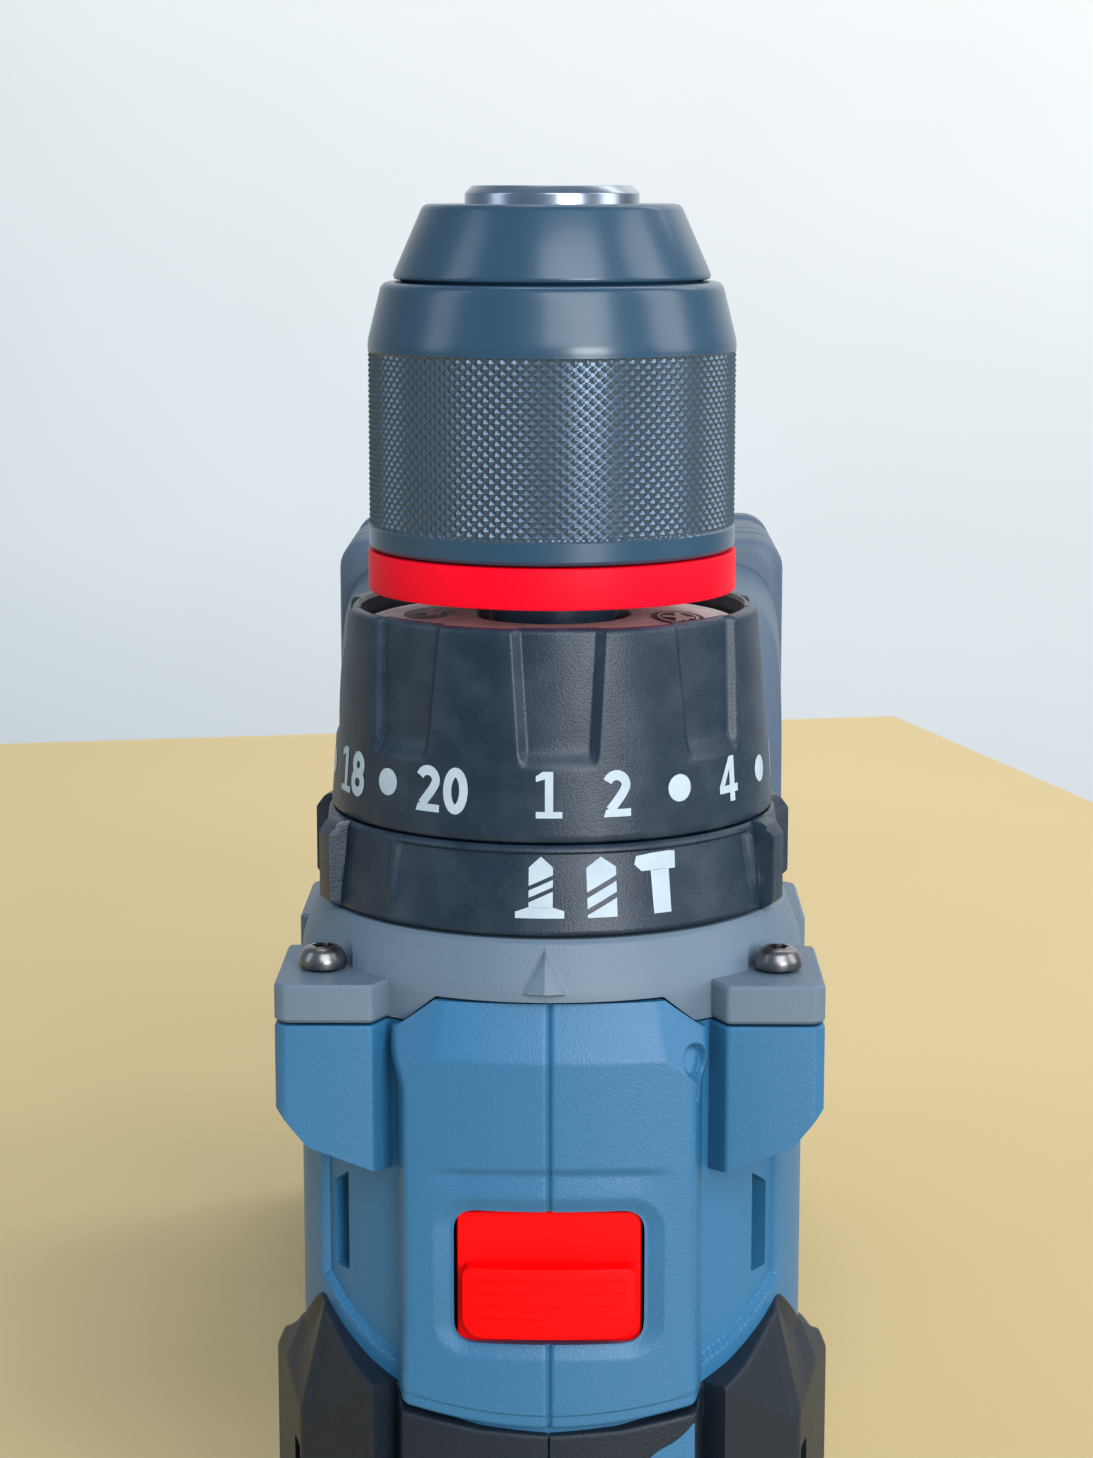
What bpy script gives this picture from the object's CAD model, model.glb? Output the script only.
"""Looks for the cordless drill: fine geometry, materials, light and camera around the CAD frame.

Sizes are in millimetres until a mesh is made. The spindle is the Z axis, and angles are counted
in degrees from -Y, the tool's top side, towards +X.
"""

import math

import bmesh
import bpy
import numpy as np
from mathutils import Matrix, Vector

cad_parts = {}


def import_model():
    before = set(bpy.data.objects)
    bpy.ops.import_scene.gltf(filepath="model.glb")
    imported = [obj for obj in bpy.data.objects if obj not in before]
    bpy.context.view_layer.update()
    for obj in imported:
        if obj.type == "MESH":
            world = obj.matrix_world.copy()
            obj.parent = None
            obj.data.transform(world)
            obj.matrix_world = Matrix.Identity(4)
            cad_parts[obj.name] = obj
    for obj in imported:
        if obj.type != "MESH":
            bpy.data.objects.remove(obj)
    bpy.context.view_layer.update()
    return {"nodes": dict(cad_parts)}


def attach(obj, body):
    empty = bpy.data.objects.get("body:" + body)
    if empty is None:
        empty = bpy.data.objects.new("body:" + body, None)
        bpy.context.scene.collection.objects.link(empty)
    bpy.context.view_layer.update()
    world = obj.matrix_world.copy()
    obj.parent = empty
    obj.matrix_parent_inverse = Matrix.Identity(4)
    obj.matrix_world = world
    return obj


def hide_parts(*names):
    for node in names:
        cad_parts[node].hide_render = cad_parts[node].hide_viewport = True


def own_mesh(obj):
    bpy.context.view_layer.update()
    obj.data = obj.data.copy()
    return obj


MM = 0.001
LENGTH = 184.0                # from tail to nose
CHUCK_R = 21.5                # outer sleeve
COLLAR_LOW, COLLAR_HIGH = 111.9, 135.6
MARK_STEP = 17.5              # degrees between two torque marks
MARK_Z, ICON_Z = 117.3, 106.9
RING_LOW, RING_HIGH = 101.6, 111.6
FLANGE_LOW, SHELF_Z, FLANGE_HIGH = 91.35, 95.72, 101.2
SHELL_LOW, SHELL_HIGH = 12.0, 91.0
BARREL_R = 30.2
SPINE_ARC = 60.0              # radius of the spine's curved front
SPINE_BACK = 28.4             # from the spindle back to that arc's centre
SPINE_SIDE = 78.7             # the way that its sides face
DARK_Y = 127.0                # from here on the foot is darker
CORNERS = ((-1, -1), (1, -1), (-1, 1), (1, 1))
BOSS_X, BOSS_Y = 26.0, 19.0   # the flange screws
FOOT_Y = 150.0                # the handle's end
PACK_HALF, PACK_LOW, PACK_HIGH = 37.0, 0.4, 126.0
SHARP = 32.0                  # degrees of bend from which an edge is crisp


# ---- Materials ----
def noise(tree, scale, detail):
    """A noise in the piece's own space."""
    place = tree.nodes.new("ShaderNodeTexCoord")
    texture = tree.nodes.new("ShaderNodeTexNoise")
    texture.inputs["Scale"].default_value = scale
    texture.inputs["Detail"].default_value = detail
    tree.links.new(place.outputs["Object"], texture.inputs["Vector"])
    return texture.outputs["Fac"]


def blotches(tree, shader, source, low, high, start, stop):
    """Lets a noise choose the shader's colour between two colours."""
    colours = tree.nodes.new("ShaderNodeValToRGB")
    for number, colour, position in ((0, low, start), (1, high, stop)):
        colours.color_ramp.elements[number].position = position
        colours.color_ramp.elements[number].color = (*colour, 1.0)
    tree.links.new(source, colours.inputs["Fac"])
    tree.links.new(colours.outputs["Color"], shader.inputs["Base Color"])


def new_material(name):
    """A material with its node tree and shader."""
    mat = bpy.data.materials.new(name)
    mat.use_nodes = True
    return mat, mat.node_tree, mat.node_tree.nodes["Principled BSDF"]


def finish_of(name, colour, rough, metal=0.0, grain=0.0, grain_scale=2600.0, uneven=0.06, coat=0.0,
              wear=None, shine=0.5):
    """A Principled material with fine moulded grain, uneven gloss and, if asked, worn patches."""
    mat, tree, shader = new_material(name)
    for socket, value in (("Metallic", metal), ("Coat Weight", coat), ("Specular IOR Level", shine),
                          ("Coat Roughness", 0.12), ("Base Color", (*colour, 1.0))):
        shader.inputs[socket].default_value = value
    spread = tree.nodes.new("ShaderNodeMapRange")
    spread.inputs["To Min"].default_value = max(rough - uneven, 0.03)
    spread.inputs["To Max"].default_value = rough + uneven
    tree.links.new(noise(tree, 90.0, 4.0), spread.inputs["Value"])
    tree.links.new(spread.outputs["Result"], shader.inputs["Roughness"])
    if grain:
        bump = tree.nodes.new("ShaderNodeBump")
        bump.inputs["Strength"].default_value = grain
        bump.inputs["Distance"].default_value = 0.0001
        tree.links.new(noise(tree, grain_scale, 2.0), bump.inputs["Height"])
        tree.links.new(bump.outputs["Normal"], shader.inputs["Normal"])
    if wear:
        blotches(tree, shader, noise(tree, 260.0, 6.0), colour, wear, 0.42, 0.78)
    return mat


def make_materials():
    return {
        "blue": finish_of("blue_shell", (0.022, 0.133, 0.270), 0.44, grain=0.55, grain_scale=3600),
        "grey": finish_of("grey_shell", (0.108, 0.156, 0.208), 0.5, grain=0.5, grain_scale=3800),
        "black": finish_of("black_shell", (0.004, 0.015, 0.032), 0.40, grain=0.4, grain_scale=4200,
                           wear=(0.020, 0.034, 0.054), shine=0.45),
        "rubber": finish_of("black_rubber", (0.006, 0.012, 0.022), 0.50, grain=0.6, shine=0.34),
        "foot": finish_of("dark_foot", (0.072, 0.110, 0.165), 0.5, grain=0.4, grain_scale=2200),
        "pack": finish_of("pack_shell", (0.066, 0.100, 0.150), 0.5, grain=0.4, grain_scale=1800),
        "red": finish_of("red_slide", (0.93, 0.0, 0.0006), 0.5, uneven=0.03, shine=0.12),
        "band": finish_of("red_band", (0.90, 0.0, 0.0160), 0.5, uneven=0.03, shine=0.12),
        "print": finish_of("white_print", (0.43, 0.51, 0.57), 0.6, grain=0.3, wear=(0.34, 0.43, 0.51)),
        "plate": finish_of("pale_plate", (0.95, 0.95, 0.93), 0.7, grain=0.2, wear=(0.72, 0.73, 0.72),
                           shine=0.15),
        "ink": finish_of("black_ink", (0.010, 0.012, 0.016), 0.5),
        "chuck": finish_of("black_oxide", (0.018, 0.056, 0.100), 0.3, uneven=0.05, coat=0.12),
        "knurl": finish_of("worn_knurl", (0.080, 0.118, 0.165), 0.24, metal=0.6, uneven=0.05),
        "steel": finish_of("machined_steel", (0.32, 0.36, 0.42), 0.26, metal=1.0),
        "screw": finish_of("nickel_screw", (0.20, 0.19, 0.19), 0.3, metal=1.0, uneven=0.1),
        "alloy": finish_of("die_cast", (0.48, 0.49, 0.50), 0.45, metal=1.0, grain=0.3),
        "copper": finish_of("copper", (0.60, 0.27, 0.13), 0.3, metal=1.0),
        "board": finish_of("solder_mask", (0.01, 0.11, 0.05), 0.35),
        "lens": finish_of("clear_lens", (0.75, 0.80, 0.86), 0.1),
        "cell": finish_of("cell_wrap", (0.02, 0.19, 0.28), 0.35),
    }


MAT = {}


# ---- Mesh tools ----
def shown(obj, look, body, *nodes):
    """Gives a finished piece its material, its CAD body and the nodes that it stands for."""
    obj.data.materials.clear()
    obj.data.materials.append(MAT[look])
    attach(obj, body)
    if nodes:
        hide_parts(*nodes)


def second_look(obj, look, axis, chosen):
    """Gives another material to the faces whose centre, in metres on one axis, is chosen."""
    obj.data.materials.append(MAT[look])
    centres = np.zeros(len(obj.data.polygons) * 3)
    obj.data.polygons.foreach_get("center", centres)
    obj.data.polygons.foreach_set("material_index", chosen(centres[axis::3]).astype(np.int32))


def link(obj):
    """Puts a new object in the scene."""
    bpy.context.scene.collection.objects.link(obj)


def wrap_up(bm, name, sharp=SHARP):
    """A bmesh as a smooth object, with crisp edges where it bends by more than sharp degrees."""
    bmesh.ops.recalc_face_normals(bm, faces=bm.faces)
    mesh = bpy.data.meshes.new(name)
    bm.to_mesh(mesh)
    bm.free()
    mesh.shade_smooth()
    mesh.set_sharp_from_angle(angle=math.radians(sharp))
    obj = bpy.data.objects.new(name, mesh)
    link(obj)
    return obj


def solid(name, points, ring=True, sharp=SHARP):
    """A closed solid from a grid of points (u, v, xyz) in mm. v always closes on itself; u closes
    too for a ring, and otherwise gets flat ends."""
    count_u, count_v, _ = points.shape
    index = np.arange(count_u * count_v).reshape(count_u, count_v)
    here, after = (index, np.roll(index, -1, 0)) if ring else (index[:-1], index[1:])
    quads = np.stack([here, after, np.roll(after, -1, 1), np.roll(here, -1, 1)], -1)
    quads = quads.reshape(-1, 4).tolist()
    if not ring:
        quads += [index[0].tolist(), index[-1][::-1].tolist()]
    mesh = bpy.data.meshes.new(name)
    mesh.from_pydata((points.reshape(-1, 3) * MM).tolist(), [], quads)
    bm = bmesh.new()
    bm.from_mesh(mesh)
    bpy.data.meshes.remove(mesh)
    return wrap_up(bm, name, sharp)


def around(theta, radius, z):
    """Points on a surface round the spindle; theta in degrees."""
    turn = np.radians(theta)
    return np.stack([radius * np.sin(turn), -radius * np.cos(turn), z + 0 * radius], -1)


def columns(count):
    """Evenly spaced angles round the spindle, as a column."""
    return np.linspace(0, 360, count, endpoint=False)[:, None]


def casing(name, theta, radius, z, behind, ring, sharp):
    """A closed solid round the spindle, from its outside and the (radius, z) rows behind it."""
    rows = [around(theta, r + 0 * theta, h + 0 * theta) for r, h in behind]
    return solid(name, np.concatenate([around(theta, radius, z), *rows], 1), ring, sharp)


def soften(profile, size, steps=3):
    """Rounds the corners of a closed outline of 2-D points."""
    out = []
    count = len(profile)
    for i in range(count):
        before, here, after = (np.array(profile[k % count], float) for k in (i - 1, i, i + 1))
        into, away = before - here, after - here
        reach = min(size, 0.45 * np.linalg.norm(into), 0.45 * np.linalg.norm(away))
        start = here + into / (np.linalg.norm(into) or 1) * reach
        end = here + away / (np.linalg.norm(away) or 1) * reach
        for t in np.linspace(0, 1, steps + 1):
            out.append(tuple((1 - t) ** 2 * start + 2 * t * (1 - t) * here + t * t * end))
    return out


def lathe(name, profile, size=0.3, count=144):
    """A solid of revolution from a closed (radius, z) profile with softened corners."""
    line = np.array(soften(profile, size) if size else profile)
    theta = columns(count)
    radius = np.maximum(line[None, :, 0], 0.02) + 0 * theta
    return solid(name, around(theta, radius, line[None, :, 1]))


def rod(name, radius, low, high, size=0.0, count=32):
    """A round bar on the spindle's line."""
    return lathe(name, [(0, low), (radius, low), (radius, high), (0, high)], size, count)


def rect(left, low, right, high):
    """A rectangle's outline."""
    return [(left, low), (right, low), (right, high), (left, high)]


def rounded(half, low, high, top, bottom, first=0):
    """An outline 2 * half wide with two corner radii, from one of its corners on (0: top right)."""
    line = []
    for quarter in (first, first + 1, first + 2, first + 3):
        quarter %= 4
        size = top if quarter < 2 else bottom
        x = half - size if quarter in (0, 3) else size - half
        z = high - size if quarter < 2 else low + size
        for i in range(9):
            angle = math.radians(90 * quarter + 11.25 * i)
            line.append((x + size * math.cos(angle), z + size * math.sin(angle)))
    return line


def star(x, y, outer, inner):
    """The outline of a screw's six-pointed recess."""
    return [(x + r * math.cos(math.pi * k / 6), y + r * math.sin(math.pi * k / 6))
            for k, r in enumerate((outer, inner) * 6)]


def prism(name, outline, low, high, axis="Z", size=0.0):
    """An outline raised along an axis. For Z the outline is (x, y), for X (y, z), for Y (x, z)."""
    line = soften(outline, size) if size else outline
    order = {"Z": (0, 1, 2), "X": (1, 2, 0), "Y": (0, 2, 1)}[axis]
    layers = []
    for level in (low, high):
        flat = np.zeros((len(line), 3))
        flat[:, order[0]], flat[:, order[1]] = np.array(line).T
        flat[:, order[2]] = level
        layers.append(flat)
    return solid(name, np.array(layers), False)


def block(name, x, y, z, bevel=0.5):
    """A box with rounded edges from (low, high) pairs."""
    bm = bmesh.new()
    bmesh.ops.create_cube(bm, size=1.0)
    bmesh.ops.scale(bm, vec=[(high - low) * MM for low, high in (x, y, z)], verts=bm.verts)
    bmesh.ops.translate(bm, vec=[(low + high) / 2 * MM for low, high in (x, y, z)], verts=bm.verts)
    if bevel:
        bmesh.ops.bevel(bm, geom=bm.edges, offset=bevel * MM, segments=3, affect="EDGES", profile=0.6)
    return wrap_up(bm, name)


def place(obj, matrix):
    """Moves a piece's mesh."""
    obj.data.transform(matrix)
    return obj


def shift(x, y):
    """A move across the spindle."""
    return Matrix.Translation((x * MM, y * MM, 0))


def spin(degrees):
    """A turn round the spindle."""
    return Matrix.Rotation(math.radians(degrees), 4, "Z")


def combine(target, tools, operation):
    """Applies one Boolean for each tool to target, and removes the tools."""
    for tool in tools:
        modifier = target.modifiers.new("Boolean", "BOOLEAN")
        modifier.operation, modifier.solver, modifier.object = operation, "MANIFOLD", tool
        graph = bpy.context.evaluated_depsgraph_get()
        mesh = bpy.data.meshes.new_from_object(target.evaluated_get(graph))
        target.modifiers.clear()
        old, target.data = target.data, mesh
        bpy.data.meshes.remove(old)
        bpy.data.objects.remove(tool)
        mesh.shade_smooth()
        mesh.set_sharp_from_angle(angle=math.radians(SHARP))
    return target


def cut(target, *tools):
    combine(target, tools, "DIFFERENCE")


def fuse(target, *tools):
    combine(target, tools, "UNION")


def copy_of(source, name):
    twin = source.copy()
    twin.data = source.data.copy()
    twin.name = name
    link(twin)
    return twin


def half_of(obj, side):
    """Keeps the left (-1) or right (1) half of a piece."""
    gap = 0.02
    x = (gap, 90) if side > 0 else (-90, -gap)
    return combine(obj, [block("half", x, (-90, 260), (-40, 240), 0)], "INTERSECT")


def smin(a, b, k):
    """The smaller of two fields, with a rounded meeting of width k."""
    h = np.clip(0.5 + 0.5 * (b - a) / k, 0, 1)
    return b * (1 - h) + a * h - k * h * (1 - h)


def smax(a, b, k):
    return -smin(-a, -b, k)


def ramp(x):
    """0 below 0, 1 above 1, and a smooth rise between."""
    t = np.clip(x, 0, 1)
    return t * t * (3 - 2 * t)


def flat_side(theta, facing, distance):
    """Distance from the spindle, in direction theta, to a plane that faces another direction."""
    c = np.cos(np.radians(theta - facing))
    return np.where(c > 0.05, distance / np.maximum(c, 0.05), 900.0)


def wrapped(theta):
    """An angle brought between -180 and 180."""
    return (theta + 180.0) % 360.0 - 180.0


def folded(theta):
    """Angle from -Y without its side, 0 to 180."""
    return np.abs(wrapped(theta))


# ---- Printed marks ----
def mark_mesh(outlines, level=0.0, bm=None):
    """Filled flat outlines; overlapping ones get levels of their own."""
    bm = bm or bmesh.new()
    for outline in outlines:
        bm.faces.new([bm.verts.new((x, y, level)) for x, y in outline])
    return bm


def disc(x, y, radius, count=28):
    """A round outline."""
    turn = 2 * math.pi
    return [(x + radius * math.cos(turn * i / count), y + radius * math.sin(turn * i / count))
            for i in range(count)]


def stroke(path, width):
    """A flat ribbon of quads along a path."""
    line = np.array(path, float)
    way = np.gradient(line, axis=0)
    if np.allclose(line[0], line[-1]):
        way[0] = way[-1] = line[1] - line[-2]
    way /= np.linalg.norm(way, axis=1)[:, None]
    side = np.stack([-way[:, 1], way[:, 0]], 1) * width / 2
    left, right = (line + side).tolist(), (line - side).tolist()
    return [[right[i], right[i + 1], left[i + 1], left[i]] for i in range(len(line) - 1)]


def bow(x, y, rx, ry, start, stop, count):
    """Points on a piece of an ellipse, between two angles in degrees."""
    angles = np.radians(np.linspace(start, stop, count))
    return [(x + rx * math.cos(a), y + ry * math.sin(a)) for a in angles]


def digits(text, height):
    """A number in plain bold strokes, as a flat bmesh round the origin."""
    w = 0.215
    glyph = {
        "0": [stroke(bow(0, 0, 0.21, 0.40, 0, 360, 33), w)],
        "1": [[rect(-0.05, -0.36, 0.14, 0.5),
               [(-0.26, 0.28), (-0.05, 0.34), (-0.05, 0.5), (-0.1, 0.5), (-0.26, 0.40)],
               rect(-0.26, -0.5, 0.35, -0.36)]],
        "2": [stroke(bow(-0.01, 0.18, 0.23, 0.215, 158, -12, 14) + [(0.12, -0.02), (-0.17, -0.36)], w),
              [[(-0.33, -0.5), (0.33, -0.5), (0.33, -0.335), (-0.27, -0.335)]]],
        "4": [[rect(0.03, -0.5, 0.23, 0.5),
               [(-0.36, -0.30), (0.03, -0.30), (0.03, -0.13), (-0.36, -0.15)],
               rect(0.23, -0.30, 0.36, -0.13),
               [(-0.36, -0.15), (-0.17, -0.14), (0.03, 0.22), (0.03, 0.5)]]],
        "6": [stroke(bow(0, -0.18, 0.215, 0.225, 0, 360, 29), w),
              stroke(bow(0.06, 0.0, 0.275, 0.41, 95, 178, 14), w)],
        "8": [stroke(bow(0, 0.2, 0.19, 0.195, 0, 360, 27), w),
              stroke(bow(0, -0.19, 0.225, 0.21, 0, 360, 29), w)]}
    bm = bmesh.new()
    for place_no, letter in enumerate(text):
        start = (place_no - (len(text) - 1) / 2) * 0.74
        for level, part in enumerate(glyph[letter]):
            moved = [[((x + start) * height * 0.93, y * height) for x, y in shape] for shape in part]
            mark_mesh(moved, level * 0.02, bm)
    return bm


def slice_up(bm, low, high):
    """Cuts a flat mark every half millimetre, so that it can bend."""
    for x in np.arange(low, high, 0.5):
        geom = bm.verts[:] + bm.edges[:] + bm.faces[:]
        bmesh.ops.bisect_plane(bm, geom=geom, plane_co=(x, 0, 0), plane_no=(1, 0, 0))


def print_on(bm, theta, z, radius_at, lift=0.05):
    """Bends a flat mark round the spindle at theta and z, just outside radius_at(z)."""
    reach = max(abs(v.co.x) for v in bm.verts)
    slice_up(bm, -reach, reach)
    for v in bm.verts:
        level = z + v.co.y
        radius = radius_at(level) + lift + v.co.z
        turn = math.radians(theta) + v.co.x / radius
        v.co = Vector((radius * math.sin(turn), -radius * math.cos(turn), level)) * MM
    return bm


def joined(name, marks):
    """Several bmeshes as one object."""
    whole = bmesh.new()
    for bm in marks:
        mesh = bpy.data.meshes.new("mark")
        bm.to_mesh(mesh)
        bm.free()
        whole.from_mesh(mesh)
        bpy.data.meshes.remove(mesh)
    return wrap_up(whole, name)


# ---- Chuck ----
def jaw_frame(index):
    """The matrix that leans a jaw along its channel."""
    angle = math.radians(120 * index - 90)
    out = Vector((math.cos(angle), math.sin(angle), 0))
    lean = math.radians(15)
    along = out * -math.sin(lean) + Vector((0, 0, math.cos(lean)))
    turn = Vector((0, 0, 1)).rotation_difference(along).to_matrix().to_4x4()
    tip = (out * 7.0 + Vector((0, 0, 176.0))) * MM
    return Matrix.Translation(tip) @ turn


def chuck():
    """Chuck body, jaws, nose cone, spindle, sleeve and red band."""
    body = lathe("chuck_core", [
        (6.8, LENGTH - 0.6), (7.4, LENGTH), (9.2, LENGTH), (10.1, LENGTH - 0.9), (10.1, 180.2),
        (13.0, 178.4), (13.0, 147.0), (19.2, 147.0), (19.2, 143.3), (6.3, 143.3), (6.3, 153.0),
        (6.8, 153.0)], 0.12, 180)
    for i in range(3):
        matrix = jaw_frame(i)
        cut(body, place(rod("bore", 3.3, -28.5, 20, 0, 40), matrix))
        jaw = place(rod("jaw", 3, -27, 3, 0.3, 64), matrix)
        wedge = [(6.5, 1.05), (6.5, -1.05), (30, -41.8), (30, 41.8)]
        combine(jaw, [place(prism("limit", wedge, 120, 176), spin(120 * i - 90))], "INTERSECT")
        jaw.name = f"jaw_look_{i + 1}"
        shown(jaw, "steel", f"jaw_{i + 1}", f"jaw_{i + 1}")
    shown(body, "steel", "spindle", "chuck_body")
    cone = lathe("nose_cone_look", [
        (10.4, 181.9), (14.9, 181.9), (18.45, 173.8), (18.35, 173.35), (17.4, 173.2), (17.4, 170.6),
        (16.6, 170.6), (16.4, 174.0), (14.2, 179.9), (10.4, 180.7)], 0.75, 200)
    shown(cone, "chuck", "chuck_sleeve", "chuck_nose_cone")
    spindle = lathe("spindle_look", [
        (0, 84.0), (6.0, 84.0), (6.0, 129.6), (7.5, 129.6), (7.5, 143.0), (6.0, 143.0),
        (6.0, 152.2), (2.6, 152.2), (2.6, 137.0), (0, 137.0)], 0.1)
    shown(spindle, "chuck", "spindle", "spindle")
    sleeve()
    red_band()


def sleeve():
    """The outer sleeve, with a knurl of small pyramids between two sets of slanting grooves."""
    per_turn, rows, low, high = 98, 17, 144.8, 165.2
    theta = columns(per_turn * 6)
    rise = (high - low) / rows
    z = np.concatenate([
        [142.3, 142.45, 142.7, 144.0], np.linspace(low, high, rows * 6 + 1),
        [165.6, 166.0, 166.6, 167.4], np.linspace(168.2, 172.2, 6),
        [172.5, 172.75, 172.92, 173.0]])[None, :]
    cone = CHUCK_R - np.maximum(0, z - 166.1) * 0.248
    radius = smin(cone, CHUCK_R + 0 * z, 0.12)
    rim = 0.75 - np.sqrt(np.maximum(0.75 ** 2 - (z - 172.2) ** 2 * 0.86, 0))
    radius = radius - np.where(z > 172.2, rim, 0)
    radius = radius - np.maximum(0, 142.7 - z) * 0.7
    across, up = theta * per_turn / 360, (z - low) / rise
    one, two = (1 - np.abs(2 * ((across + s * up) % 1) - 1) for s in (1, -1))
    peak = np.minimum(one, two)
    zone = ramp((z - low) / 0.3) * ramp((high - z) / 0.3)
    radius = radius + zone * (0.36 * np.minimum(peak, 0.95) - 0.345)
    inner = [(18.3, 173.0), (18.0, 172.6), (19.8, 166.0), (19.8, 142.3)]
    obj = casing("sleeve_look", theta, radius, z, inner, True, 24)
    shown(obj, "knurl", "chuck_sleeve", "chuck_sleeve")
    second_look(obj, "chuck", 2, lambda h: (h > high * MM) | (h < low * MM))


def red_band():
    """The band under the sleeve, with three plain arrows."""
    band = lathe("red_band_look", [(8.2, 137.3), (21.6, 137.3), (21.6, 142.0), (8.2, 142.0)], 0.25, 200)
    shown(band, "band", "chuck_sleeve", "chuck_red_ring")
    arrow = [rect(-2.6, -0.28, 0.9, 0.28), [(0.9, -0.85), (2.6, 0), (0.9, 0.85)]]
    marks = [print_on(mark_mesh(arrow), theta, 139.6, lambda z: 21.58, 0.07)
             for theta in (-5, 115, 235)]
    shown(joined("band_arrows", marks), "band", "chuck_sleeve")


# ---- Torque collar, mode ring and flange ----
def collar_radius(z):
    """The collar's tapered outside."""
    return 26.2 - (z - COLLAR_LOW) * (26.2 - 24.45) / 23.7


def torque_collar():
    """The numbered collar, with eight sunk panels for the fingers."""
    theta = columns(960)
    z = np.concatenate([
        [COLLAR_LOW, 112.0, 112.2], np.linspace(112.8, 119.8, 10), np.linspace(120.1, 121.9, 13),
        np.linspace(122.6, 134.2, 16), np.linspace(134.6, COLLAR_HIGH, 9)])[None, :]
    radius = collar_radius(z) + 0 * theta
    across = ((theta - 2.3 + 22.5) % 45 - 22.5) * np.pi / 180 * radius
    half = 4.3 + (z - 120.7) * 0.06
    panel = ramp((half + 0.3 - np.abs(across)) / 1.15) * ramp((z - 119.9) / 2.4)
    radius = radius - panel * 0.95
    lip = np.maximum(0, z - 134.85)
    radius = radius - (0.75 - np.sqrt(np.maximum(0.75 ** 2 - lip ** 2, 0)))
    radius = radius - np.maximum(0, 112.15 - z) * 0.8
    inner = [(23.0, 135.5), (22.65, 135.1), (22.6, 129.0), (23.6, COLLAR_LOW)]
    obj = casing("torque_collar_look", theta, radius, z, inner, True, 40)
    shown(obj, "black", "torque_collar", "torque_collar")
    marks = []
    for step in range(20):
        numbered = step == 0 or step % 2 == 1
        mark = digits(str(step + 1), 5.2) if numbered else mark_mesh([disc(0, 0, 1.55)])
        marks.append(print_on(mark, -0.6 + MARK_STEP * step, MARK_Z, collar_radius))
    shown(joined("torque_numbers", marks), "print", "torque_collar")


def mode_radius(z):
    """The mode ring's tapered outside."""
    return 27.6 - (z - RING_LOW) * 0.11


def mode_floor(z):
    """The recess behind the icons: deepest at its top, fading out towards the ring's foot."""
    return mode_radius(z) - 0.06 * (z - 102.0)


def mode_icons():
    """Marks for screwing, drilling and hammering: a bit on a base, a twist bit and a hammer."""
    bit_on_base = [
        [(-2.7, -3.3), (2.8, -3.3), (2.8, -2.5), (1.5, -2.1), (-1.3, -2.1), (-2.7, -2.6)],
        [(-1.2, -2.15), (1.5, -2.15), (1.5, -0.35), (-1.2, -1.55)],
        [(-1.2, -1.05), (1.5, 0.15), (1.5, 0.95), (-1.2, -0.25)],
        [(-1.2, 0.25), (1.5, 1.45), (1.5, 2.3), (0.15, 3.5), (-1.2, 2.3)]]
    twist_bit = [
        [(-1.7, -3.3), (1.7, -3.3), (1.7, -1.2), (-1.7, -3.0)],
        [(-1.7, -2.35), (1.7, -0.55), (1.7, 0.65), (-1.7, -1.15)],
        [(-1.7, -0.5), (1.7, 1.3), (1.7, 2.2), (0, 3.4), (-1.7, 2.2)]]
    hammer = [
        [(-2.9, 2.3), (-2.1, 1.5), (-1.0, 1.5), (2.2, 1.5), (2.3, 3.4), (1.4, 3.5), (-0.8, 3.4),
         (-2.6, 3.2)],
        [(-0.95, 1.55), (-0.9, -3.3), (1.3, -3.3), (1.35, 1.55)]]
    return [print_on(mark_mesh(icon), angle, ICON_Z, mode_floor, 0.06)
            for icon, angle in ((bit_on_base, -2.4), (twist_bit, 12.6), (hammer, 27.3))]


def mode_ring():
    """The ring with the icons, and six ribs to turn it by."""
    ribs = (66, 102, 140, 220, 258, 294)
    close = [np.linspace(a - 5, a + 5, 41) for a in ribs]
    theta = np.unique(np.concatenate([columns(720)[:, 0], *close]))[:, None]
    z = np.concatenate([np.linspace(RING_LOW, 103.4, 10), np.linspace(104.0, 109.0, 8),
                        np.linspace(109.4, RING_HIGH, 14)])[None, :]
    radius = mode_radius(z) + 0 * theta
    past = np.abs(wrapped(theta) - 9.0) - 49.5          # degrees outside the icons' recess
    inset = ramp(-past / 1.4) * ramp((110.95 - z) / 0.3)
    lip = np.exp(-((past - 1.0) / 0.8) ** 4) * ramp((z - 103.4) / 1.5) * ramp((110.6 - z) / 0.5)
    radius = radius - np.maximum(mode_radius(z) - mode_floor(z), 0) * inset + 0.35 * lip
    for rib in ribs:
        across = wrapped(theta - rib) * np.pi / 180 * 28
        top = 28.9 - np.maximum(0, z - 109.9) * 0.7 - np.maximum(0, 102.3 - z) * 0.8
        side = 25.0 + (2.15 - np.abs(across)) * 7.5
        radius = smax(radius, smin(top + 0 * theta, side + 0 * z, 0.5), 0.15)
    radius = radius - 0.9 * (np.maximum(0, z - 111.2) + np.maximum(0, 101.9 - z))
    obj = casing("mode_ring_look", theta, radius, z, [(21.2, RING_HIGH), (21.2, RING_LOW)], True, 40)
    shown(obj, "black", "mode_ring", "mode_ring")
    shown(joined("mode_icons", mode_icons()), "print", "mode_ring")


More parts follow.
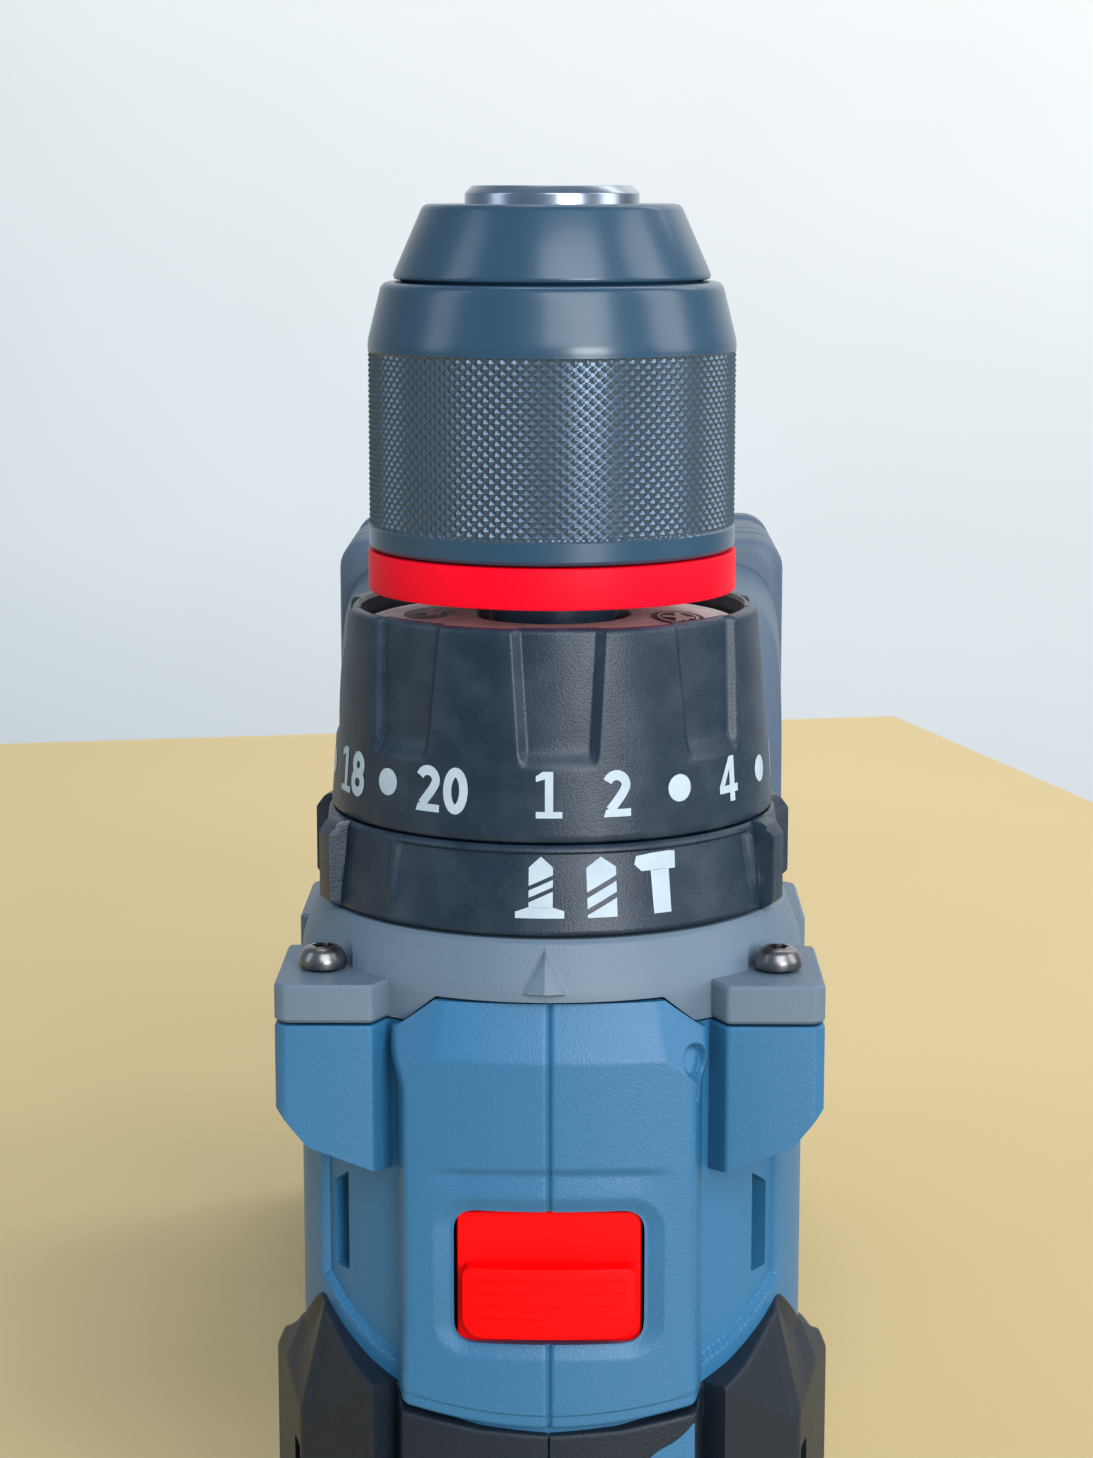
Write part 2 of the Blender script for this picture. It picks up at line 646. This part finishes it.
def slab(name, outline, low, high, edge=0.35):
    """An upright block with softened corners and chamfered top and bottom edges."""
    line = np.array(soften(outline, 0.45))
    middle = line.mean(0)
    scale = 1 - edge / np.linalg.norm(line - middle, axis=1).mean()
    layers = [(low, scale), (low + edge, 1.0), (high - edge, 1.0), (high, scale)]
    points = [np.column_stack([middle + (line - middle) * k, np.full(len(line), z)])
              for z, k in layers]
    return solid(name, np.array(points), False)


def mirrored(obj, side_x, side_y):
    """Moves a piece made for the right front corner to another corner."""
    obj.data.transform(Matrix.Diagonal((side_x, -side_y, 1, 1)))
    if side_x * side_y > 0:
        obj.data.flip_normals()
    return obj


BOSS_PLAN = [(15.0, -19.0), (17.4, -22.0), (19.9, -26.9), (29.9, -26.9), (31.0, -25.8), (31.0, -7.5),
             (26.5, -7.5), (15.0, -17.0)]


def notch(theta):
    """How far the flange's lower edge rises over the shell's front tongue."""
    across = np.abs(31.4 * np.sin(np.radians(theta)))
    return 3.25 * np.clip((17.2 - across) / 3.8, 0, 1) * (folded(theta) < 60)


def fine_angles():
    """Columns round the barrel: close together in front, at the seam and at the screw blocks."""
    front = np.concatenate([np.arange(0, 80, 0.5), [0.1, 0.2, 0.3, 0.4, 0.7, 0.9]])
    rear = np.arange(80, 180.1, 1.25)
    half = np.unique(np.round(np.concatenate([front, rear]), 4))
    return np.concatenate([-half[::-1][:-1], half[1:]])[1:][:, None]


def flange():
    """The grey flange with its pointer, four screw blocks and four screws."""
    theta = fine_angles()
    low = FLANGE_LOW + notch(theta)
    part = np.linspace(0, 1, 8)
    upper = np.concatenate([[95.2, 95.35, 95.5, 95.6, 95.66, 95.7, 95.75, 95.85],
                            np.linspace(96.2, 100.4, 12), np.linspace(100.6, FLANGE_HIGH, 5)])
    z = np.concatenate([low + part[None, :-1] * (95.1 - low), upper[None, :] + 0 * theta], 1)
    radius = 29.9 - 2.3 * ramp((z - 94.4) / 8.5) - np.maximum(0, z - 100.7) * 0.8
    x = 31.0 * np.sin(np.radians(theta)) + 0.5
    wide = np.maximum((100.3 - z) * 0.54, 0.02)
    point = ramp((wide - np.abs(x)) / 0.35) * (folded(theta) < 40) * ramp((z - 95.3) / 0.3)
    radius = radius + point * (0.25 + 0.5 * np.clip(1 - np.abs(x) / np.maximum(wide, 0.3), 0, 1))
    obj = casing("flange_look", theta, radius, z, [(20.0, FLANGE_HIGH), (20.0, low)], True, 38)
    fuse(obj, *[mirrored(slab("boss", BOSS_PLAN, FLANGE_LOW, SHELF_Z), *corner) for corner in CORNERS])
    for side_x, side_y in CORNERS:
        there = shift(side_x * BOSS_X, side_y * BOSS_Y)
        cut(obj, place(rod("hole", 1.9, 88, 99), there),
            place(rod("seat", 3.4, SHELF_Z, 106, 0, 48), there))
    shown(obj, "grey", "housing", "gearbox_flange")
    for number, (side_x, side_y) in enumerate(CORNERS, 1):
        screw = lathe("screw", [(0, 79), (1.4, 79), (1.4, 96), (2.75, 96), (2.75, 97.1), (2.2, 98.1),
                                (1.5, 98.45), (0, 98.5)], 0.35, 64)
        cut(screw, prism("star", star(0, 0, 1.45, 1.0), 97.1, 100, size=0.3))
        place(screw, shift(side_x * BOSS_X, side_y * BOSS_Y))
        screw.name = f"flange_screw_look_{number}"
        shown(screw, "screw", "housing", f"flange_screw_{number}")


def plate_level(x, y):
    """The dial plate's top, a very shallow cone."""
    return 133.4 + (21.8 - math.hypot(x, y)) * 0.06


def dial_plate():
    """The pale plate in the collar, its two icons and the gearbox nose under it."""
    plate = lathe("dial_plate_look", [(9.3, 131.8), (21.8, 131.8), (21.8, 133.4), (9.3, 134.15)], 0.12)
    shown(plate, "plate", "housing", "dial_plate")
    spots = ((-14.5, 2.6), (14.9, -1.2))
    discs = [flat_mark([disc(x, y, 3.2)], 0.0, y) for x, y in spots]
    shown(joined("plate_icons", discs), "ink", "housing")
    cross = [rect(-1.9, -0.36, 1.9, 0.36), rect(-0.36, 0.38, 0.36, 1.9), rect(-0.36, -1.9, 0.36, -0.38)]
    ring = [(2.5 * math.cos(a), 2.5 * math.sin(a)) for a in np.linspace(0, 2 * math.pi, 25)]
    loop = [[(x * k, y * k) for (x, y), k in ((here, 1), (after, 1), (after, 0.86), (here, 0.86))]
            for here, after in zip(ring, ring[1:])]
    marks = []
    for (x, y), shapes in zip(spots, (cross, cross + loop)):
        moved = [[(px + x, py + y) for px, py in shape] for shape in shapes]
        marks.append(flat_mark(moved, 0.05, y))
    shown(joined("plate_crosses", marks), "plate", "housing")
    shown(lathe("nose_tube_look", [
        (10.8, 90.0), (23.8, 90.0), (23.8, 96.4), (14.1, 96.4), (14.1, 131.4), (9.2, 131.4),
        (9.2, 129.4), (10.8, 129.4)], 0.2), "alloy", "housing", "gearbox_nose")


def flat_mark(outlines, lift, middle, stretch=1.75):
    """Outlines laid on the dial plate's shallow cone, stretched front to back about one line."""
    bm = mark_mesh(outlines)
    for v in bm.verts:
        x, y = v.co.x, middle + (v.co.y - middle) * stretch
        v.co = Vector((x, y, plate_level(x, y) + 0.04 + lift)) * MM
    return bm


# ---- Housing ----
HANDLE = np.array([
    (16.0, 54.0, 20.0, 29.0, 2.6), (32.0, 54.0, 18.6, 25.0, 2.6), (60.0, 52.5, 17.0, 21.0, 2.6),
    (90.0, 51.5, 17.0, 20.5, 2.6), (108.0, 52.0, 18.0, 22.0, 2.8), (121.0, 55.0, 23.0, 30.0, 3.2),
    (128.0, 60.0, 32.0, 52.0, 5.0), (132.0, 61.0, 36.0, 60.0, 8.0), (FOOT_Y, 61.0, 36.8, 61.6, 10.0)])


def handle_loft(name, shrink, low, high, count=96, stations=90, ridges=0.0):
    """The handle and its foot, drawn with the same stations as the CAD but with finer steps."""
    y = np.linspace(low, high, stations)
    mid, half_x, half_z, square = (np.interp(y, HANDLE[:, 0], HANDLE[:, k]) for k in (1, 2, 3, 4))
    turn = 2 * np.pi * (np.arange(count) + 0.5) / count
    c, s = np.cos(turn)[None, :], np.sin(turn)[None, :]
    power = (2 / square)[:, None]
    inset = (shrink + ridges * (0.5 - 0.5 * np.cos(2 * np.pi * y / 4.0)))[:, None]
    x = np.sign(c) * np.abs(c) ** power * (half_x[:, None] - inset)
    z = mid[:, None] + np.sign(s) * np.abs(s) ** power * (half_z[:, None] - inset)
    return solid(name, np.stack([x, y[:, None] + 0 * x, np.maximum(z, 0)], -1), False, 40)


def spine_face(theta):
    """Distance from the spindle to the spine's front, a large arc round a line behind the spindle."""
    turn = np.radians(theta)
    across, back = SPINE_BACK * np.sin(turn), SPINE_BACK * np.cos(turn)
    return np.sqrt(SPINE_ARC ** 2 - across ** 2) - back


def spine_bottom(x):
    """The spine's curved lower edge."""
    return 45.15 + 2.1 * (x / 16.0) ** 2


def spine():
    """The raised front of the shell, from its curved lower edge to the tongue under the flange."""
    theta = np.linspace(-34.5, 34.5, 301)[:, None]
    theta = np.sort(np.concatenate([theta, [[-0.35], [-0.12], [0.12], [0.35]]]), 0)
    spot = 31.2 * np.sin(np.radians(theta))
    across = np.abs(spot)
    low, high = spine_bottom(np.minimum(across, 17.4)), SHELL_HIGH + notch(theta)
    part = np.concatenate([np.linspace(0, 0.012, 6), np.linspace(0.02, 0.03, 4),
                           np.linspace(0.036, 1, 150)])[None, :]
    z = low + part * (high - low)
    slope = smax(z - 88.1, z - 88.1 + (across - 12.4) * 0.85, 0.5)
    face = spine_face(theta) - 0.40 * np.maximum(slope, 0)
    drop = 75.4 - 0.25 * (across / 13) ** 2 - z
    crease = ramp((drop + 0.5) / 1.0) * np.exp(-np.maximum(drop, 0) / 2.8) * ramp((13.8 - across) / 4.5)
    face = face - 0.55 * crease - window_depth(spot, z)
    reach = 21.85 + 0.75 * ramp((z - 83.5) / 5.0) + 0.3 * ramp((58 - z) / 10)
    side = smin(face, flat_side(np.abs(theta), SPINE_SIDE, reach), 1.0)
    edge = np.maximum(0.55 - (z - low), 0)
    side = side - (0.55 - np.sqrt(np.maximum(0.55 ** 2 - edge ** 2, 0)))
    side = side - 0.22 * ramp((1.75 - (z - low)) / 0.25)
    side = side - 0.42 * np.exp(-(spot / 0.3) ** 2)
    dimple = np.hypot(spot - 15.8, (z - 87.3) / 1.35)
    side = side - 1.3 * ramp((1.6 - dimple) / 0.55)
    side = side - 0.5 * ramp((0.55 - np.abs(spot - 16.0)) / 0.3) * (np.abs(z - 84.4) < 1.4)
    return casing("spine", theta, np.maximum(side, 25.9), z, [(25.4, high), (25.4, low)], False, 38)


def window_depth(x, z):
    """A shallow chamfer round the window of the speed selector."""
    corner = 2.4
    qx, qz = np.abs(x) - (10.9 - corner), np.abs(z - 62.9) - (7.9 - corner)
    outside = np.hypot(np.maximum(qx, 0), np.maximum(qz, 0))
    away = outside + np.minimum(np.maximum(qx, qz), 0) - corner
    return np.clip(1.5 - away, 0, 1.5) * 0.42


def barrel_radius(theta, z):
    """The plain sides of the blue shell, with a sunk panel, as a distance from the spindle."""
    t = folded(theta) + 0 * z
    curve = rubber_top(t) + 2.1
    panel = ramp((z - curve) / 0.5) * ramp((62.2 - t) / 0.6)
    side = np.where(t < 75, BARREL_R + 0.2 - 0.9 * panel, BARREL_R)
    return np.where(z < 43.7, 28.5, side)


def boss(side_x, side_y):
    """One of the four blocks that take the flange screws."""
    body = slab("boss", BOSS_PLAN, 66, SHELL_HIGH, 0.3)
    shape = [(12, 92), (32, 92), (32, 82.6), (30.9, 81.2), (27.4, 76.9), (18.6, 73.6), (12, 72.2)]
    combine(body, [prism("boss_trim", shape, -40, 0, "Y", 0.5)], "INTERSECT")
    return mirrored(body, side_x, side_y)


def shells():
    """The two blue housing halves: barrel, screw blocks, spine, handle and foot, cut at the seam."""
    theta = fine_angles()
    z = np.concatenate([[SHELL_LOW, 20.0, 43.0, 43.6], np.arange(43.75, SHELL_HIGH, 0.3),
                        [SHELL_HIGH]])[None, :]
    inner = [(24.9, SHELL_HIGH), (24.9, SHELL_LOW)]
    barrel = casing("shell", theta, barrel_radius(theta, z), z, inner, True, 38)
    fuse(barrel, *[boss(*corner) for corner in CORNERS], spine())
    handle = handle_loft("handle", 0.0, 16.0, FOOT_Y)
    cut(handle, rod("room", 25.2, 5, 95, 0, 96))
    cut(handle, handle_loft("hollow", 2.6, 20.0, FOOT_Y + 4, 64, 60))
    fuse(barrel, handle)
    opening = soften(rect(-10.75, 55.1, 10.75, 70.7), 2.6, 7)
    cut(barrel,
        prism("window", opening, -36, -20, "Y"),
        block("pocket", (-10.95, 10.95), (-29.6, -21), (49.4, 76.8), 0),
        prism("trigger_window", rect(-7.6, 42, 7.6, 68), 62, 84, size=1.5),
        block("lever_window", (-30, 30), (31.4, 38.6), (59.4, 72.6), 1.2),
        block("led_window", (-5, 5), (126, 139), (106.5, 117.5), 1.0),
        block("pack_way", (-27.6, 27.6), (139.9, 152), (112, 125), 0))
    for side in (-1, 1):
        shape = [(-1.6, 59.2), (1.5, 59.2), (1.5, 71.2), (-1.6, 69.4)]
        slot = prism("slot", [(x * -side, z) for x, z in shape], -34, -25.8, "Y", 0.3)
        cut(barrel, place(slot, spin(55.5 * side)))
    for y, z in ((80.0, 61.0), (104.0, 46.0), (118.0, 61.0)):
        cut(barrel, prism("seat", disc(y, z, 3.3, 40), -45, -12, "X"),
            prism("bore", disc(y, z, 1.7, 24), -45, 9, "X"))
    right = copy_of(barrel, "shell_right_look")
    barrel.name = "shell_left_look"
    for half, side, node in ((barrel, -1, "housing_left"), (right, 1, "housing_right")):
        shown(half_of(half, side), "blue", "housing", node)
        second_look(half, "foot", 1, lambda y: y > DARK_Y * MM)


def rubber_top(t):
    """The overmould's upper edge, with a peak on each side."""
    edge = [(0, 44.4), (15, 44.9), (31.5, 46.4), (32.5, 47.4), (35, 48.4), (43, 50.0), (54, 53.0),
            (61, 55.2), (63, 55.0), (66, 53.8), (70, 52.2), (77, 49.4), (86, 46.5), (100, 43.4)]
    return np.interp(t, *zip(*edge))


def rubber_radius(theta, z):
    """The black overmould: a middle panel and two faceted bumpers that lean in at their tops."""
    t = folded(theta) + 0 * z
    middle = smin(spine_face(t) - 0.25, flat_side(t, SPINE_SIDE, 22.15), 0.5)
    lean = np.interp(t, [30, 36, 55, 76, 130], [48.9, 48.9, 41.4, 44.5, 40.0])
    bumper = smin(flat_side(t, -50, 2.43), flat_side(t, 44, 33.75), 0.35)
    bumper = smin(bumper, flat_side(t, 76, 33.0), 0.35)
    bumper = smin(bumper, flat_side(t, 98, 33.4), 0.4)
    bumper = smin(bumper, flat_side(t, 122, 33.3), 0.5)
    steep = np.interp(t, [36, 58, 70, 130], [0.15, 0.26, 0.42, 0.42])
    bumper = bumper - steep * smax(z - lean, 0 * z, 0.5)
    total = smax(smax(middle, bumper, 0.3), 29.7 + 1.1 * ramp((z - 42.5) / 2.0), 0.3)
    return total - np.maximum(0, 15.5 - z) * 0.5


def rubber():
    """The black overmould, its blue accent and the two ribbed grips."""
    t = np.unique(np.concatenate([np.arange(0.25, 80, 0.5), np.arange(80, 126.1, 1.0)]))[:, None]
    top = rubber_top(t)
    part = np.concatenate([np.linspace(0, 0.6, 24), np.linspace(0.61, 0.985, 56),
                           [0.992, 0.997, 1.0]])[None, :]
    z = SHELL_LOW + part * (top - SHELL_LOW)
    rim = np.clip(1 - (top - z) / 0.5, 0, 1)
    inner = [(28.7, top), (28.7, SHELL_LOW)]
    for side, name in ((-1, "left"), (1, "right")):
        radius = rubber_radius(t * side, z) - 0.5 * (1 - np.sqrt(np.maximum(1 - rim ** 2, 0)))
        obj = casing(f"overmould_look_{name}", t * side, np.maximum(radius, 29.2), z, inner, False, 24)
        cut(obj, handle_loft("handle", -0.4, SHELL_LOW, 70.0, 64, 40))
        for low in (20.5, 36.2):
            vent = block("vent", (-1.8, 1.8), (-40, -24), (low - 3, low + 1.2), 0.6)
            cut(obj, place(vent, spin(62 * side)))
        shown(obj, "rubber", "housing", f"overmould_{name}")
    arc = [(16.6, 45.3), (16.6, 39.6), (13.6, 37.4), (9.8, 36.2), (6.6, 36.2), (9.2, 38.8),
           (12.0, 41.9), (14.6, 43.2), (16.0, 44.5)]
    bm = mark_mesh([soften(arc, 0.9)])
    slice_up(bm, 7.0, 16.6)
    for v in bm.verts:
        depth = SPINE_BACK - math.sqrt(SPINE_ARC ** 2 - v.co.x ** 2) + 0.18
        v.co = Vector((v.co.x, depth, v.co.y)) * MM
    shown(wrap_up(bm, "blue_accent"), "blue", "housing")
    skin = handle_loft("grip", -1.8, 60.0, 121.0, 96, 130, 0.45)
    cut(skin, handle_loft("inside", -0.3, 50.0, 128.0, 96, 60),
        block("front", (-40, 40), (20, 140), (56, 120), 0))
    cut(skin, prism("seat", disc(104.0, 46.0, 3.3, 40), -45, 0, "X"))
    right = copy_of(skin, "grip_right_look")
    skin.name = "grip_left_look"
    shown(half_of(skin, -1), "rubber", "housing", "grip_left")
    shown(half_of(right, 1), "rubber", "housing", "grip_right")


def rear_cap():
    """The cap that the drill stands on, with slots for the motor's air."""
    cap = lathe("rear_cap_look", [
        (0, 0), (23.0, 0), (25.5, 0.6), (29.0, 5.5), (29.2, 11.6), (26.8, 11.6), (26.4, 6.4),
        (24.0, 3.0), (11.0, 3.0), (11.0, 8.6), (8.3, 8.6), (8.3, 3.0), (0, 3.0)], 0.5)
    for degrees in range(0, 360, 30):
        long = degrees % 60 == 30
        slot = block("slot", (-1.6, 1.6), (14.0, 21.5 if long else 19.0), (-1.0, 4.0), 0.5)
        cut(cap, place(slot, spin(degrees)))
    shown(cap, "black", "housing", "rear_cap")


# ---- Controls, battery and inner parts ----
def curved(depth, half, count):
    """Points across the selector's front, which has the spine's curve."""
    return [(x, depth - math.sqrt(SPINE_ARC ** 2 - x * x)) for x in np.linspace(-half, half, count)]


def selector():
    """The two-speed slide: a plate behind the window and a ribbed knob with a curved front."""
    plate = block("speed_selector_look", (-10.4, 10.4), (-29.2, -27.4), (49.8, 70.2), 0.3)
    half, low, high = 9.75, 56.2, 64.4
    knob = prism("knob", [*curved(27.58, half, 18), (half, -28.6), (-half, -28.6)], low, high)
    combine(knob, [prism("trim", rounded(half, low, high, 1.1, 2.4, 2), -40, -20, "Y")], "INTERSECT")
    bevel = knob.modifiers.new("Bevel", "BEVEL")
    bevel.width, bevel.segments = 0.6 * MM, 4
    bevel.limit_method, bevel.angle_limit = "ANGLE", math.radians(40)
    graph = bpy.context.evaluated_depsgraph_get()
    mesh = bpy.data.meshes.new_from_object(knob.evaluated_get(graph))
    knob.modifiers.clear()
    knob.data = mesh
    fuse(plate, knob)
    for z in (62.9, 61.4, 59.9, 58.4):
        line = [*curved(27.45, 8.6, 14), (8.6, -31.0), (-8.6, -31.0)]
        fuse(plate, prism("rib", line, z - 0.16, z + 0.16))
    shown(plate, "red", "speed_selector", "speed_selector")


def controls():
    """The speed slide, trigger, direction lever and work light."""
    selector()
    line = [(42.6, 64.0), (67.4, 64.0), (67.4, 82.0), (64.0, 87.0), (57.0, 88.4), (50.0, 86.8),
            (45.0, 89.6), (42.6, 87.0)]
    trigger = prism("trigger_look", line, -7.0, 7.0, "X", 2.2)
    fuse(trigger, place(rod("plunger", 2, 50, 65, 0.2), shift(0, 55)))
    shown(trigger, "red", "trigger", "trigger")
    lever = block("direction_lever_look", (-21.5, 21.5), (31.8, 38.2), (60.0, 72.0), 1.6)
    for ends in ((-23, -21.2), (21.2, 23)):
        cut(lever, *[block("groove", ends, (33.2 + i * 1.5, 33.7 + i * 1.5), (61.5, 70.5), 0)
                     for i in range(3)])
    shown(lever, "red", "direction_lever", "direction_lever")
    lens = block("led_lens_look", (-4.6, 4.6), (129.6, 136.4), (107.0, 117.0), 1.0)
    shown(lens, "lens", "housing", "led_lens")


def pack_ring(shrink, y):
    """The battery's rounded outline at one depth, drawn in by shrink."""
    corner = 5.0 - shrink * 0.6
    outline = rounded(PACK_HALF - shrink, PACK_LOW + shrink, PACK_HIGH - shrink, corner, corner)
    return [(x, y, z) for x, z in outline]


def battery():
    """The battery's cases and latch, and the mount in the foot that it slides on."""
    steps = [(2.4, 150.3), (1.2, 150.5), (0.35, 151.1), (0, 152.2), (0, 160.0), (0.7, 160.5),
             (0.7, 161.1), (0, 161.6), (0, 168.0)]
    upper = solid("battery_upper_look", np.array([pack_ring(s, y) for s, y in steps]), False)
    channel = [(-26.7, 140.3), (26.7, 140.3), (26.7, 146.3), (22.7, 146.3), (22.7, 152), (-22.7, 152),
               (-22.7, 146.3), (-26.7, 146.3)]
    fuse(upper, prism("rail", channel, 14.6, 114.0))
    cut(upper, solid("hollow", np.array([pack_ring(2.4, y) for y in (153.0, 170.0)]), False),
        block("groove", (-6.6, 6.6), (139.0, 144.2), (10, 116), 0),
        block("well", (-9.4, 9.4), (139, 166.8), (109.8, 130), 0.6),
        *[block("slot", (x - 1.2, x + 1.2), (139, 148), (10, 31), 0) for x in (-15, -5, 5, 15)])
    shown(upper, "pack", "battery", "battery_upper_case")
    steps = [(0.5, 168.3), (0, 168.7), (0, 178), (0.6, 178.5), (0.6, 188.0), (0, 188.5), (0, 192.5),
             (0.6, 195.6), (1.9, 197.4), (3.6, 198.0)]
    lower = solid("battery_lower_look", np.array([pack_ring(s, y) for s, y in steps]), False)
    hollow = [pack_ring(s, y) for s, y in ((2.4, 166.0), (2.4, 193.0), (4.4, 195.6))]
    cut(lower, solid("hollow", np.array(hollow), False))
    cut(lower, block("label_panel", (-24, 24), (197.4, 200), (22, 104), 0.5))
    for x, ends in ((-29.5, (-39, -36.3)), (29.5, (36.3, 39))):
        for z in (10.0, 116.4):
            cut(lower, prism("hole", disc(x, z, 3.1, 40), 197.3, 200, "Y"),
                prism("star", star(x, z, 1.5, 1.05), 196.4, 198, "Y"))
        cut(lower, *[block("groove", ends, (171.0, 186.0), (82.0 + 5.2 * i, 84.6 + 5.2 * i), 0.4)
                     for i in range(6)])
    shown(lower, "pack", "battery", "battery_lower_case")
    latch = block("battery_release_look", (-9, 9), (151.0, 163.2), (118.4, 127.2), 1.1)
    fuse(latch, block("arm", (-6, 6), (147.4, 157), (110.4, 119.5), 0.3),
         block("hook", (-6, 6), (140.6, 149), (110.4, 115.5), 0.3))
    cut(latch, *[block("groove", (-7, 7), (153.5 + 2.2 * i, 154.2 + 2.2 * i), (126.7, 129), 0)
                 for i in range(4)])
    shown(latch, "red", "battery_release", "battery_release")
    mount = block("battery_mount_look", (-30.4, 30.4), (137.5, 149.7), (8.6, 115.0), 1.2)
    slide = [(-27, 140), (27, 140), (27, 146.6), (23, 146.6), (23, 160), (-23, 160), (-23, 146.6),
             (-27, 146.6)]
    cut(mount, prism("slide", slide, 14.3, 130),
        block("pocket", (-19.3, 19.3), (138.8, 147.6), (10.0, 14.9), 0))
    catch = [(138.2, 113.0), (139.8, 113.0), (139.8, 115.9), (143.6, 115.9), (143.6, 117.2),
             (138.2, 117.2)]
    fuse(mount, prism("catch", catch, -5.4, 5.4, "X"))
    shown(mount, "pack", "housing", "battery_mount")


def spring(node, turns, radius, wire, low, high, y):
    """A coil of round wire that shortens with its joint."""
    per_turn, sides = 48, 12
    step = np.arange(turns * per_turn + 1)[:, None]
    angle = step * 2 * np.pi / per_turn
    turn = np.arange(sides)[None, :] * 2 * np.pi / sides
    reach = radius + wire * np.cos(turn)
    z = low + wire + (high - low - 2 * wire) * step / step[-1] + wire * np.sin(turn)
    points = np.stack([reach * np.cos(angle), y + reach * np.sin(angle), z], -1)
    coil = solid(f"{node}_look", points, False, 60)
    shown(coil, "steel", "housing", node)
    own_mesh(coil)


def inner_parts(frame):
    """CAD nodes that stay as they are get the looks of the real pieces."""
    looks = {
        "steel": "ring_gear first_carrier output_carrier rotor stator motor_bearing spindle_bearing "
                 "jaw_nut planet_1a planet_1b planet_1c planet_2a planet_2b planet_2c",
        "black": "cooling_fan gearbox_housing pressure_ring trigger_switch",
        "screw": "chuck_screw housing_screw_1 housing_screw_2 housing_screw_3",
        "copper": "windings terminal_block", "board": "controller_board", "cell": "battery_cells"}
    for look, names in looks.items():
        for name in names.split():
            node = frame["nodes"][name]
            node.data.materials.clear()
            node.data.materials.append(MAT[look])
    spring("clutch_spring", 3, 17.8, 1.1, RING_LOW, 119.2, 0.0)
    spring("trigger_spring", 4, 3.4, 0.4, 54.3, 63.7, 55.0)


# ---- Room, light and camera ----
def room_material(name, low, high, rough):
    """A plain pale surface with only the faintest unevenness."""
    mat, tree, shader = new_material(name)
    shader.inputs["Roughness"].default_value = rough
    blotches(tree, shader, noise(tree, 2.4, 3.0), low, high, 0.35, 0.65)
    return mat


def room():
    """A plain pale table top and, far behind it, a plain pale wall."""
    bm = bmesh.new()
    corner = Vector((0.113, 0.713, 0))
    left, near = Vector((-0.306, -0.059, 0)) * 6, Vector((0.040, -0.137, 0)) * 7.6
    spots = [corner, corner + left, corner + left + near, corner + near]
    top = [bm.verts.new(p) for p in spots]
    under = [bm.verts.new(p - Vector((0, 0, 0.025))) for p in spots]
    bm.faces.new(top)
    bm.faces.new(under[::-1])
    for i in range(4):
        bm.faces.new((top[i], under[i], under[(i + 1) % 4], top[(i + 1) % 4]))
    board = wrap_up(bm, "table")
    pale_floor = room_material("pale_floor", (0.575, 0.425, 0.190), (0.62, 0.465, 0.220), 0.6)
    board.data.materials.append(pale_floor)
    bm = bmesh.new()
    bm.faces.new([bm.verts.new(p) for p in ((-4, 1.6, -1.6), (4, 1.6, -1.6), (4, 1.6, 3), (-4, 1.6, 3))])
    wall = wrap_up(bm, "wall")
    wall.data.materials.append(room_material("pale_wall", (0.86, 0.835, 0.79), (0.90, 0.88, 0.84), 0.9))


def lamp(name, spot, aim, size, power, colour):
    """One soft rectangular light, pointed at a spot."""
    light = bpy.data.lights.new(name, "AREA")
    light.shape, light.size, light.size_y = "RECTANGLE", *size
    light.energy, light.color = power, colour
    obj = bpy.data.objects.new(name, light)
    obj.location = spot
    obj.rotation_euler = (Vector(aim) - Vector(spot)).to_track_quat("-Z", "Y").to_euler()
    link(obj)


def lights():
    """Even room light, a window, a lamp in front, two weaker ones at the sides, one on the wall."""
    world = bpy.data.worlds.new("room")
    world.use_nodes = True
    background = world.node_tree.nodes["Background"]
    background.inputs["Color"].default_value = (0.55, 0.76, 1.0, 1)
    background.inputs["Strength"].default_value = 0.44
    bpy.context.scene.world = world
    tool = (0, 0, 0.10)
    lamp("window_light", (0.26, -0.85, 0.80), tool, (0.8, 0.6), 7.8, (0.92, 0.965, 1.0))
    lamp("front_light", (0.61, -1.39, 0.34), tool, (0.58, 0.51), 15.0, (0.96, 0.98, 1.0))
    lamp("right_light", (1.0, -0.15, 0.55), tool, (0.5, 0.9), 5.0, (1.0, 0.99, 0.97))
    lamp("left_light", (-1.0, -0.25, 0.60), tool, (0.35, 0.9), 2.2, (0.85, 0.93, 1.0))
    lamp("wall_light", (0.7, 0.75, 1.2), (0.35, 1.6, 0.3), (2.0, 0.6), 17.5, (1.0, 0.975, 0.935))


def camera():
    """A camera in front of the tool, level with its nose and looking a little down."""
    sensor, focal, frame_width = 24.0, 3100, 1093      # the last two share a unit
    data = bpy.data.cameras.new("camera")
    data.sensor_fit = "HORIZONTAL"
    data.sensor_width = sensor
    data.lens = sensor * focal / frame_width
    data.clip_start, data.clip_end = 0.01, 20.0
    obj = bpy.data.objects.new("camera", data)
    obj.location = (0.0037, -0.3635, 0.184)
    obj.rotation_euler = (math.radians(90 - 9.95), 0, math.radians(0.685))
    link(obj)
    bpy.context.scene.camera = obj
    bpy.context.scene.view_settings.view_transform = "Standard"


def main():
    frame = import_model()
    MAT.update(make_materials())
    chuck()
    torque_collar()
    dial_plate()
    mode_ring()
    flange()
    shells()
    rubber()
    rear_cap()
    controls()
    battery()
    inner_parts(frame)
    room()
    lights()
    camera()


main()
